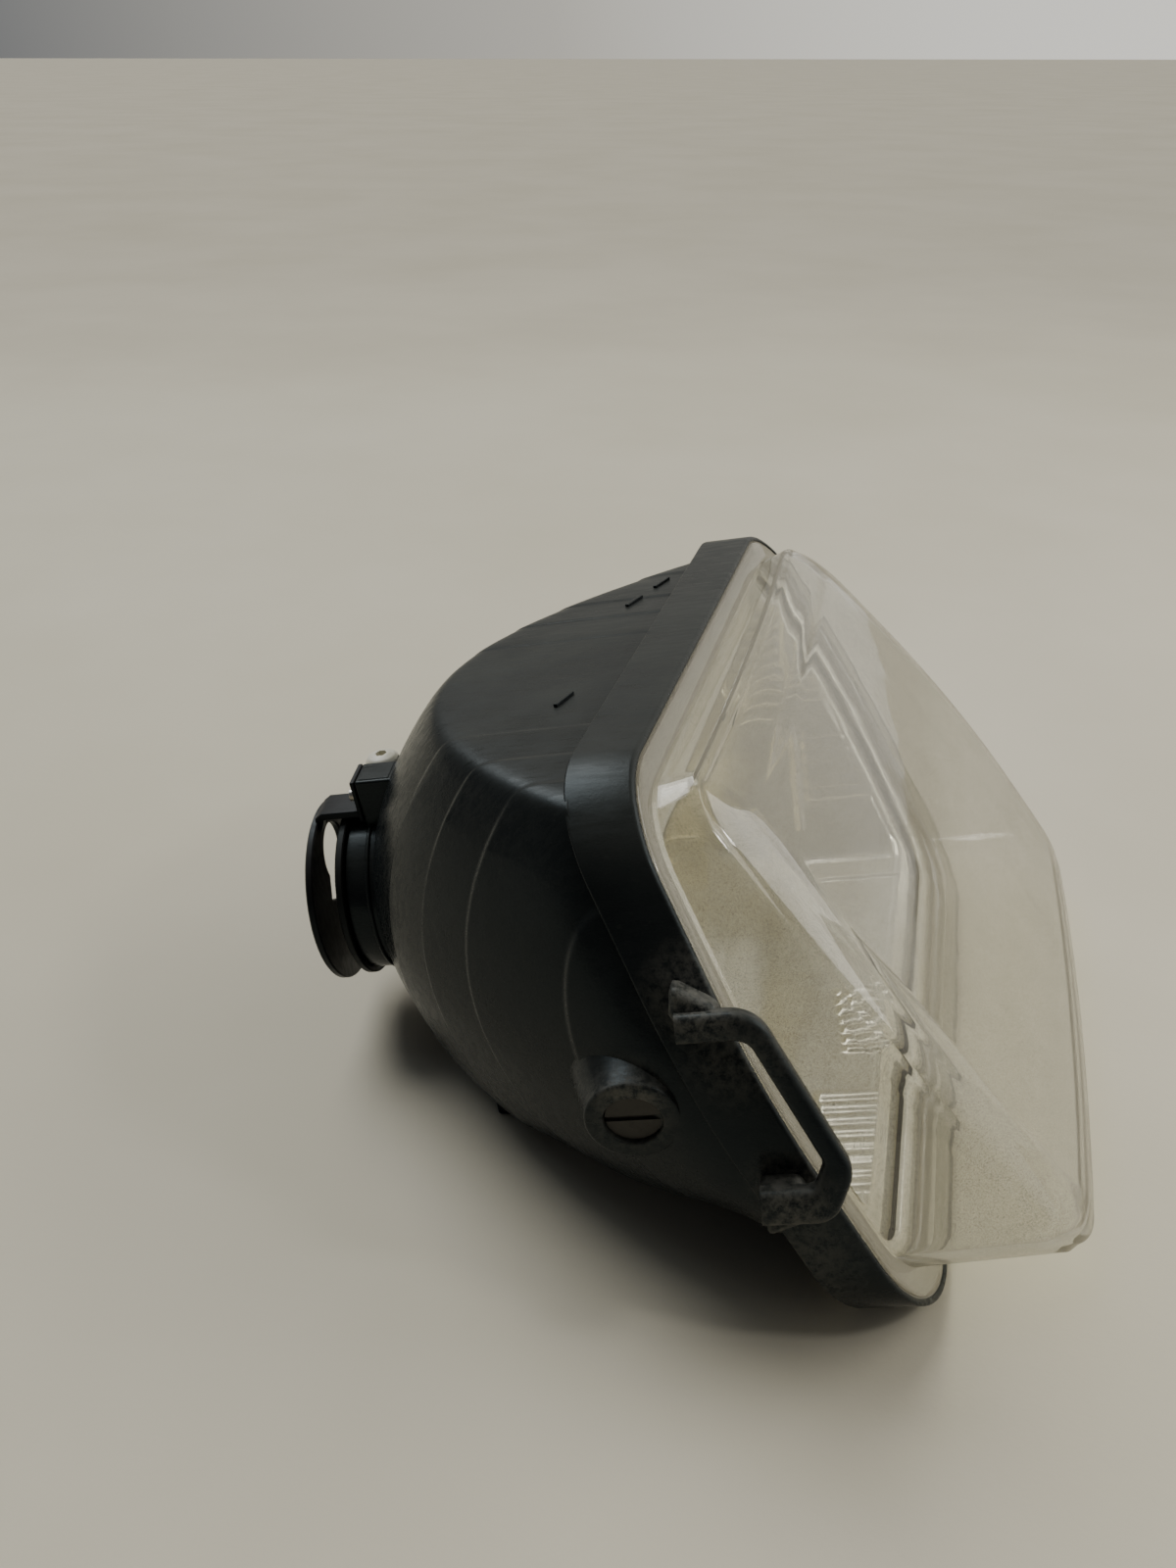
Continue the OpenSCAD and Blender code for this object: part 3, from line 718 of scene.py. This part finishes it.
def build_mirror(mat):
    """The mirror's skin, with bars on its side walls and its bottom."""
    cols, rows = MIRROR_GRID
    p = bowl_grid(f4=108.0, apex=-136.0, side_inset=25.3, top=57.7, bottom=-43.7,
                  front=-8.5, cols=cols, rows=rows, start=-134.55, sharp=60)
    x, y, z = p[..., 0], p[..., 1], p[..., 2]
    low = z < -42.5
    side = (np.abs(y) > 70) & ~low

    def bars(along, pitch):
        return np.abs(np.sin(math.pi * along / pitch)) ** 0.8

    h = side * bars(z, 5.2) * window(x, -31, -11, 1.0) * window(z, -6, 56, 1.5)
    h += side * 0.7 * bars(z, 4.2) * window(x, -5, 21, 1.0) * window(z, -34, 38, 1.5)
    h += side * 1.1 * window(x, -9.6, -6.2, 1.2)
    h += low * bars(y, 5.0) * window(x, -12, 9, 1.2) * window(y, -100, -60, 1.5)
    h += low * 0.8 * bars(y, 5.0) * window(x, -2, 19, 1.2) * window(y, -44, -8, 1.5)
    h += low * 1.2 * window(x, -24, 36, 3.0) * window(y, 53, 56.5, 1.6)
    p = p - grid_normals(p) * (FLUTE_DEPTH * h)[..., None]
    return mesh_piece("reflector_mirror", p.reshape(-1, 3), grid_faces(rows, cols),
                      "reflector_unit", mat, 50)


def build_trim(mat):
    """The metallised ring between the cover and the mirror's edge."""
    prof = [(11, -7), (11.9, -7), (11.9, -5.9), (17, -5.9), (17, -5.0), (16.7, -4.7),
            (11.3, -4.7), (11, -5.0)]
    return rim_ring_piece("bezel_trim", prof, "lamp_body", mat, 26, 40)


def build_bezel(mat):
    """The flat edge round the mirror."""
    prof = [(25.6, -10.8), (25.0, -9.2), (24.2, -8.8), (17, -8.74), (15.0, -8.9),
            (14.6, -9.3), (14.6, -10.5), (15, -10.8)]
    return rim_ring_piece("reflector_bezel", prof, "reflector_unit", mat,
                          26, 40)


# ------------------------------------------------------------- rear fittings

CAP_RIBS = 12


def build_rear_cap(mat):
    """The access cap with its grip and ribs."""
    prof = ([(-149.5, 20.5), (-149.5, 23.7), (-149.9, 24.1), (-154.4, 24.1),
             (-154.4, 29.4)] + arc(-154.8, 29.4, 0.4, 90, 180, 2)[:1]
            + [(-154.7, 29.8), (-156.4, 29.8), (-157.0, 29.2), (-157.0, 26.6),
               (-156.2, 25.8), (-156.2, 12.5), (-157.0, 11.8), (-157.0, 0.0)])
    cap = lathe("access_cap", prof, (0, 0, 0), (1, 0, 0), "access_cover",
                mat, 144, 35)
    grip = prism("cap_grip", [(-156.5, -2.6), (-159.5, -1.8), (-159.5, 1.8),
                              (-156.5, 2.6)], "y", -20, 20, "access_cover", mat,
                 0.7)
    lugs = []
    for k in range(CAP_RIBS):
        a = 2 * math.pi * k / CAP_RIBS + 0.1
        c, s = math.cos(a), math.sin(a)

        def turned(p, c=c, s=s):
            return np.stack([p[:, 0], p[:, 1] * c - p[:, 2] * s,
                             p[:, 1] * s + p[:, 2] * c], 1)
        lugs.append(prism("cap_rib_%d" % (k + 1), rect(-157.0, -0.6, -156.1, 0.6),
                          "z", 13.5, 25.2, "access_cover", mat, 0.25,
                          turned))
    return [cap, grip] + lugs


HOLE_EYE = np.array([-2.6, 10.4])    # a point that sees the whole edge of the hole
KEY_CENTRE = np.array([0, 15.0])
KEY_R = 10
KEY_SLOT_HALF = 6.2
KEY_SLOT_END = 16.3
KEY_TURN = math.radians(30)
PLATE_R = 31.0
KEY_RAY = np.linspace(0.5, 22, 1200)[:, None]      # distances tried along each ray


def keyhole(n):
    """Round hole with a slot that leans outwards, by angle about a point in it."""
    out = []
    for k in range(n):
        a = 2 * math.pi * k / n
        d = np.array([math.sin(a), math.cos(a)])
        q = HOLE_EYE + d * KEY_RAY - KEY_CENTRE
        along = -q[:, 0] * math.sin(KEY_TURN) - q[:, 1] * math.cos(KEY_TURN)
        across = q[:, 0] * math.cos(KEY_TURN) - q[:, 1] * math.sin(KEY_TURN)
        inside = (np.hypot(q[:, 0], q[:, 1]) < KEY_R) | (
            (np.abs(across) < KEY_SLOT_HALF) & (along > 0) & (along < KEY_SLOT_END))
        out.append(HOLE_EYE + d * KEY_RAY[np.argmin(inside)])
    return np.array(out)


def build_bracket(mat):
    """The keyhole plate, and the arm that carries it."""
    n = 180
    hole = keyhole(n)
    ring = []
    for k in range(n):
        a = 2 * math.pi * k / n
        d = np.array([math.sin(a), math.cos(a)])
        o = HOLE_EYE
        b = o @ d
        ring.append(o + d * (-b + math.sqrt(b * b - (o @ o - PLATE_R ** 2))))
    ring = np.array(ring)
    back, front = -166.5, -164.0

    def level(loop, x):
        return np.column_stack([np.full(len(loop), x), loop])

    def grow(loop, d):
        v = loop - HOLE_EYE
        return HOLE_EYE + v * (1 + d / np.linalg.norm(v, axis=1, keepdims=True))

    e = 0.45
    rings = [level(grow(hole, e), back), level(hole, back + e), level(hole, front - e),
             level(grow(hole, e), front), level(grow(ring, -e), front),
             level(ring, front - e), level(ring, back + e), level(grow(ring, -e), back)]
    plate = mesh_piece("keyhole_plate", np.concatenate(rings),
                       grid_faces(8, n, True), "lamp_body", mat,
                       35)
    arm = prism("bracket_arm", [(-165, 24), (-165, 31.5), (-162.4, 33.2),
                                (-149.5, 33.2), (-149.5, 30.6), (-162, 30.6),
                                (-164, 26)],
                "y", -6.5, 6.5, "lamp_body", mat, 0.6)
    rib = prism("bracket_rib", [(-164.2, 26), (-164.2, 31), (-150.2, 31),
                                (-150.2, 29.5), (-160.5, 29.5)],
                "y", -1.1, 1.1, "lamp_body", mat, 0.3)
    pad = prism("bracket_flange", rect(-6.5, 28.8, 6.5, 43.8), "x", -150, -148.4,
                "lamp_body", mat, 0.5)
    return [plate, arm, rib, pad]


# ------------------------------------------------------------------ materials

def stretched(nt, scale, amount):
    mp = node(nt, "ShaderNodeMapping")
    mp.inputs["Scale"].default_value = amount
    nt.links.new(object_coords(nt), mp.inputs["Vector"])
    return noise(nt, scale, 3.0, 0.6, mp.outputs["Vector"])


def smooth_map(nt, value, a, b, lo=0.0, hi=1.0):
    m = node(nt, "ShaderNodeMapRange", interpolation_type="SMOOTHSTEP")
    m.inputs["From Min"].default_value = a
    m.inputs["From Max"].default_value = b
    m.inputs["To Min"].default_value = lo
    m.inputs["To Max"].default_value = hi
    nt.links.new(value, m.inputs["Value"])
    return m.outputs["Result"]


def up_facing(nt, a, b):
    g = node(nt, "ShaderNodeNewGeometry")
    sep = node(nt, "ShaderNodeSeparateXYZ")
    nt.links.new(g.outputs["Normal"], sep.inputs["Vector"])
    return smooth_map(nt, sep.outputs["Z"], a, b)


def near(nt, point, radius):
    """1 at a point of the object, falling to 0 at a radius in millimetres."""
    v = node(nt, "ShaderNodeVectorMath", operation="DISTANCE")
    nt.links.new(object_coords(nt), v.inputs[0])
    v.inputs[1].default_value = tuple(place(point))
    return smooth_map(nt, v.outputs["Value"], radius * MM, 0.15 * radius * MM)


def moulded(name, colour, dusty, rough, dust=0.5, spots=(), grain=0.12):
    """Moulded black plastic: fine grain, greasy patches and settled dust."""
    m, nt, b = new_mat(name)
    b.inputs["Specular IOR Level"].default_value = 0.15
    # The gloss is tinted cool blue: a painted tint of window light in every reflection of
    # the plastic.
    b.inputs["Specular Tint"].default_value = (0.72, 0.90, 1.0, 1)
    patch = noise(nt, 38, 5, 0.6).outputs["Fac"]
    fine = noise(nt, 1500, 2, 0.5).outputs["Fac"]
    specks = noise(nt, 420, 4, 0.75).outputs["Fac"]
    rub = stretched(nt, 90, (1.0, 7.0, 3.0)).outputs["Fac"]
    top = math_node(nt, "MULTIPLY", up_facing(nt, 0.35, 0.95),
                    smooth_map(nt, patch, 0.25, 0.75, 0.55, 1.0))
    film = math_node(nt, "MULTIPLY", top, dust)
    fleck = smooth_map(nt, specks, 0.60, 0.74)
    film = math_node(nt, "ADD", film, math_node(nt, "MULTIPLY", fleck, 0.10), True)
    settled = film
    white = None
    for point, radius, amount in spots:
        s = math_node(nt, "MULTIPLY", near(nt, point, radius),
                      smooth_map(nt, specks, 0.34, 0.64))
        s = math_node(nt, "MULTIPLY", s, amount)
        white = s if white is None else math_node(nt, "MAXIMUM", white, s)
        film = math_node(nt, "MAXIMUM", film, s)
    tone = mix_rgb(nt, patch, colour, tuple(min(1, c * 1.7 + 0.003) for c in colour))
    tone = mix_rgb(nt, settled, tone, dusty)
    if white is not None:
        tone = mix_rgb(nt, white, tone, (0.095, 0.093, 0.082))
    nt.links.new(tone, b.inputs["Base Color"])
    rr = math_node(nt, "ADD", smooth_map(nt, rub, 0.3, 0.7, rough - 0.05, rough + 0.09),
                   math_node(nt, "MULTIPLY", film, 0.38), True)
    nt.links.new(rr, b.inputs["Roughness"])
    soft = bump(nt, patch, 0.25, 0.0012)
    n = bump(nt, fine, grain, 0.0002, soft.outputs["Normal"])
    nt.links.new(n.outputs["Normal"], b.inputs["Normal"])
    return m


def clear_cover():
    """Clear moulded cover with a haze of fine dirt and rubbed spots."""
    m, nt, b = new_mat("clear_cover")
    b.inputs["Base Color"].default_value = (0.965, 0.968, 0.94, 1)
    b.inputs["IOR"].default_value = 1.49
    b.inputs["Transmission Weight"].default_value = 1.0
    haze = noise(nt, 30, 5, 0.6).outputs["Fac"]
    fine = noise(nt, 2600, 2, 0.6).outputs["Fac"]
    nt.links.new(smooth_map(nt, haze, 0.35, 0.8, 0.01, 0.05), b.inputs["Roughness"])
    n = bump(nt, noise(nt, 22, 2, 0.5).outputs["Fac"], 0.18, 0.001)
    nt.links.new(n.outputs["Normal"], b.inputs["Normal"])
    dirt = node(nt, "ShaderNodeBsdfDiffuse")
    speck = smooth_map(nt, fine, 0.56, 0.66, 0.0, 0.8)
    nt.links.new(mix_rgb(nt, speck, (0.36, 0.33, 0.25), (0.06, 0.055, 0.045)),
                 dirt.inputs["Color"])
    tilt = node(nt, "ShaderNodeLayerWeight")
    tilt.inputs["Blend"].default_value = 0.35
    veil = smooth_map(nt, tilt.outputs["Facing"], 0.40, 1.0, 0.0, 0.22)
    film = smooth_map(nt, haze, 0.3, 0.9, 0.13, 0.22)
    film = math_node(nt, "ADD", film, veil)
    amount = math_node(nt, "ADD", film, math_node(nt, "MULTIPLY", speck, 0.35))
    mx = node(nt, "ShaderNodeMixShader")
    nt.links.new(amount, mx.inputs["Fac"])
    nt.links.new(b.outputs[0], mx.inputs[1])
    nt.links.new(dirt.outputs[0], mx.inputs[2])
    lp = node(nt, "ShaderNodeLightPath")
    clear = node(nt, "ShaderNodeBsdfTransparent")
    clear.inputs["Color"].default_value = (0.90, 0.90, 0.87, 1)
    last = node(nt, "ShaderNodeMixShader")
    nt.links.new(lp.outputs["Is Shadow Ray"], last.inputs["Fac"])
    nt.links.new(mx.outputs[0], last.inputs[1])
    nt.links.new(clear.outputs[0], last.inputs[2])
    nt.links.new(last.outputs[0], nt.nodes["Material Output"].inputs["Surface"])
    return m


def aged_mirror():
    """Metallised mirror, clouded and yellowed in patches."""
    m, nt, b = new_mat("aged_mirror")
    patch = noise(nt, 24, 5, 0.6).outputs["Fac"]
    cloud = noise(nt, 140, 4, 0.6).outputs["Fac"]
    c = mix_rgb(nt, smooth_map(nt, patch, 0.3, 0.75), (0.92, 0.90, 0.80),
                (0.85, 0.81, 0.66))
    nt.links.new(c, b.inputs["Base Color"])
    b.inputs["Metallic"].default_value = 0.75
    nt.links.new(smooth_map(nt, cloud, 0.3, 0.7, 0.12, 0.20), b.inputs["Roughness"])
    n = bump(nt, patch, 0.12, 0.001)
    nt.links.new(n.outputs["Normal"], b.inputs["Normal"])
    return m


def metal(name, light, dark, rough, dusty=0.0):
    """Plated or dusty metal with spots and brushed grain."""
    m, nt, b = new_mat(name)
    spots = noise(nt, 240, 5, 0.7).outputs["Fac"]
    fine = stretched(nt, 700, (1, 6, 1)).outputs["Fac"]
    c = mix_rgb(nt, smooth_map(nt, spots, 0.42, 0.68), light, dark)
    if dusty:
        c = mix_rgb(nt, smooth_map(nt, spots, 0.3, 0.6, 0.0, dusty), c,
                    (0.50, 0.47, 0.41))
    nt.links.new(c, b.inputs["Base Color"])
    b.inputs["Metallic"].default_value = 0.9 if not dusty else 0.35
    nt.links.new(smooth_map(nt, spots, 0.3, 0.7, rough, rough + 0.22),
                 b.inputs["Roughness"])
    n = bump(nt, fine, 0.2, 0.0001)
    nt.links.new(n.outputs["Normal"], b.inputs["Normal"])
    return m


def nylon():
    """Pale nylon that has yellowed in patches."""
    m, nt, b = new_mat("aged_nylon")
    patch = noise(nt, 150, 4, 0.6).outputs["Fac"]
    fine = noise(nt, 1800, 2, 0.5).outputs["Fac"]
    c = mix_rgb(nt, smooth_map(nt, patch, 0.3, 0.7), (0.70, 0.68, 0.58),
                (0.58, 0.55, 0.43))
    nt.links.new(c, b.inputs["Base Color"])
    nt.links.new(smooth_map(nt, patch, 0.3, 0.7, 0.38, 0.6), b.inputs["Roughness"])
    n = bump(nt, fine, 0.15, 0.0002)
    nt.links.new(n.outputs["Normal"], b.inputs["Normal"])
    return m


def bulb_clear():
    """Clear bulb glass with a faint haze."""
    m, nt, b = new_mat("bulb_clear")
    b.inputs["Base Color"].default_value = (0.97, 0.98, 0.98, 1)
    b.inputs["IOR"].default_value = 1.46
    b.inputs["Transmission Weight"].default_value = 1.0
    haze = noise(nt, 200, 3, 0.6).outputs["Fac"]
    nt.links.new(smooth_map(nt, haze, 0.35, 0.8, 0.0, 0.06), b.inputs["Roughness"])
    return m


def pale_floor():
    """Plain pale floor with broad stains and a fine grain."""
    m, nt, b = new_mat("pale_floor")
    broad = noise(nt, 3.2, 4, 0.6).outputs["Fac"]
    fine = noise(nt, 260, 3, 0.6).outputs["Fac"]
    c = mix_rgb(nt, smooth_map(nt, broad, 0.25, 0.8), (0.64, 0.60, 0.49),
                (0.58, 0.54, 0.43))
    nt.links.new(c, b.inputs["Base Color"])
    b.inputs["Roughness"].default_value = 0.85
    b.inputs["Specular IOR Level"].default_value = 0.2
    n = bump(nt, fine, 0.12, 0.0006)
    nt.links.new(n.outputs["Normal"], b.inputs["Normal"])
    return m


# ------------------------------------------------------------------- assembly

def dress(name, mat, soft=0.0):
    """A CAD node keeps its shape, and takes a material and softened edges."""
    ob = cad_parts[name]
    for s in ob.material_slots:
        s.material = mat
    if not ob.material_slots:
        ob.data.materials.append(mat)
    if soft:
        w = ob.modifiers.new("join", "WELD")
        w.merge_threshold = 2e-6
        b = bevel(ob, soft, 2, 40)
        b.harden_normals = False


ROOT_TOP = loop_frame(np.array([[-38.0, -4.0, 37.0]]))[0]
ROOT_LOW = loop_frame(np.array([[-20.0, -4.0, -17.0]]))[0]
SPOTS = ((ROOT_TOP, 19, 1.0), (ROOT_LOW, 17, 1.0),
         ((-57, -120, 10), 13, 1.0), ((-57, -119, 2), 15, 0.6),
         ((-20, -127, -40), 24, 0.6), ((-30, -120, 20), 20, 0.5))

shell = moulded("black_shell", (0.007, 0.0085, 0.0092), (0.078, 0.080, 0.066), 0.24,
                0.26, SPOTS)
rear_black = moulded("rear_black", (0.004, 0.004, 0.005), (0.085, 0.08, 0.075), 0.34, 0.35)
cap_black = moulded("cap_black", (0.005, 0.005, 0.005), (0.08, 0.078, 0.07), 0.46, 0.3)
rubber = moulded("rubber", (0.010, 0.010, 0.010), (0.07, 0.07, 0.06), 0.55, 0.2)
sealant = moulded("old_sealant", (0.15, 0.14, 0.115), (0.20, 0.19, 0.15), 0.5, 0.3)
cover = clear_cover()
mirror = aged_mirror()
zinc = metal("zinc_plate", (0.52, 0.51, 0.48), (0.30, 0.28, 0.24), 0.3)
dusty_zinc = metal("dusty_zinc", (0.028, 0.027, 0.024), (0.012, 0.012, 0.011), 0.6,
                   0.06)
brass = metal("tinned_brass", (0.66, 0.60, 0.44), (0.45, 0.38, 0.24), 0.3)
tungsten = metal("tungsten", (0.34, 0.33, 0.32), (0.2, 0.2, 0.2), 0.4)
white_nylon = nylon()
quartz = bulb_clear()

shell_pieces = ([build_bowl(shell), build_band(shell)] + build_loop(shell)
                + build_bosses(shell) + build_neck(shell) + build_rear_block(shell)
                + build_feet(shell) + build_marks(shell))
for piece in shell_pieces:
    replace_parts(piece, "housing")
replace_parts(build_lens(cover), "lens")
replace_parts(build_seal(sealant), "lens_seal")
build_mirror(mirror)
build_bezel(mirror)
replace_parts(build_trim(mirror), "bezel")
for piece in build_bracket(rear_black):
    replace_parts(piece, "levelling_bracket")
for piece in build_rear_cap(cap_black):
    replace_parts(piece, "rear_cap")

for name, mat, soft in (
        ("reflector", mirror, 0.0), ("pivot_bushes", white_nylon, 0.2),
        ("pivot_pin_outer", dusty_zinc, 0.25), ("pivot_pin_inner", dusty_zinc, 0.25),
        ("bulb_flange", zinc, 0.15), ("bulb_base", zinc, 0.3),
        ("bulb_terminals", brass, 0.12), ("bulb_glass", quartz, 0.0),
        ("main_filament", tungsten, 0.0), ("dipped_filament", tungsten, 0.0),
        ("filament_shield", zinc, 0.0), ("bulb_clip", zinc, 0.0),
        ("sidelight_holder", rear_black, 0.3), ("sidelight_bulb", quartz, 0.0),
        ("sidelight_filament", tungsten, 0.0), ("rear_cap_seal", rubber, 0.0),
        ("bracket_screws", zinc, 0.1), ("adjuster_knob", white_nylon, 0.25),
        ("adjuster_screw", zinc, 0.1), ("adjuster_nut", white_nylon, 0.2),
        ("vent_cap", rubber, 0.3)):
    dress(name, mat, soft)

# ---------------------------------------------------------------------- stage

bpy.ops.mesh.primitive_plane_add(size=30.0, location=(0, 10.0, 0))
floor = bpy.context.object
floor.name = "floor"
floor.data.materials.append(pale_floor())

world = bpy.data.worlds.new("studio")
bpy.context.scene.world = world
world.use_nodes = True
wt = world.node_tree
tc = node(wt, "ShaderNodeTexCoord")
dot = node(wt, "ShaderNodeVectorMath", operation="DOT_PRODUCT")
dot.inputs[1].default_value = (0.80, 0.56, 0.20)
wt.links.new(tc.outputs["Generated"], dot.inputs[0])
sky = ramp(wt, smooth_map(wt, dot.outputs["Value"], -0.6, 0.9),
           [(0.0, (0.05, 0.053, 0.06)), (0.45, (0.16, 0.165, 0.17)),
            (0.8, (0.50, 0.48, 0.43)), (1.0, (0.95, 0.93, 0.86))])
height = node(wt, "ShaderNodeSeparateXYZ")
wt.links.new(tc.outputs["Generated"], height.inputs["Vector"])
dim = smooth_map(wt, height.outputs["Z"], 0.10, 0.80, 1.0, 0.55)
back = wt.nodes["Background"]
wt.links.new(sky.outputs["Color"], back.inputs["Color"])
wt.links.new(dim, back.inputs["Strength"])


def area_light(name, place_at, look_at, size, power, colour):
    li = bpy.data.lights.new(name, "AREA")
    li.shape = "RECTANGLE"
    li.size, li.size_y = size
    li.energy = power
    li.color = colour
    ob = bpy.data.objects.new(name, li)
    bpy.context.scene.collection.objects.link(ob)
    ob.location = place_at
    way = Vector(look_at) - Vector(place_at)
    ob.rotation_euler = way.to_track_quat("-Z", "Y").to_euler()


area_light("window", (-0.75, 0.45, 1.0), (-0.05, 0, 0.06), (0.9, 0.7), 2.4,
           (0.80, 0.91, 1.0))
area_light("front", (1.05, 0.30, 0.80), (0.0, 0, 0.06), (0.9, 0.7), 6.0,
           (1.0, 0.97, 0.90))
area_light("glint", (0.75, -0.20, 0.80), (0.0, 0, 0.06), (0.10, 0.10), 1.2,
           (1.0, 0.98, 0.94))
sun = bpy.data.lights.new("daylight", "SUN")
sun.energy = 2.1
sun.angle = math.radians(38)
sun.color = (1.0, 0.99, 0.96)
sun_ob = bpy.data.objects.new("daylight", sun)
bpy.context.scene.collection.objects.link(sun_ob)
sun_ob.rotation_euler = Vector((0.55, -0.62, -1.0)).to_track_quat("-Z", "Y").to_euler()

cam_data = bpy.data.cameras.new("camera")
cam_data.lens = 29.03
cam_data.sensor_width = 36.0
camera = bpy.data.objects.new("camera", cam_data)
bpy.context.scene.collection.objects.link(camera)
camera.location = (-0.01464, -0.34801, 0.29776)
camera.rotation_euler = (math.radians(59.5), 0.0, math.radians(4.9))
bpy.context.scene.camera = camera
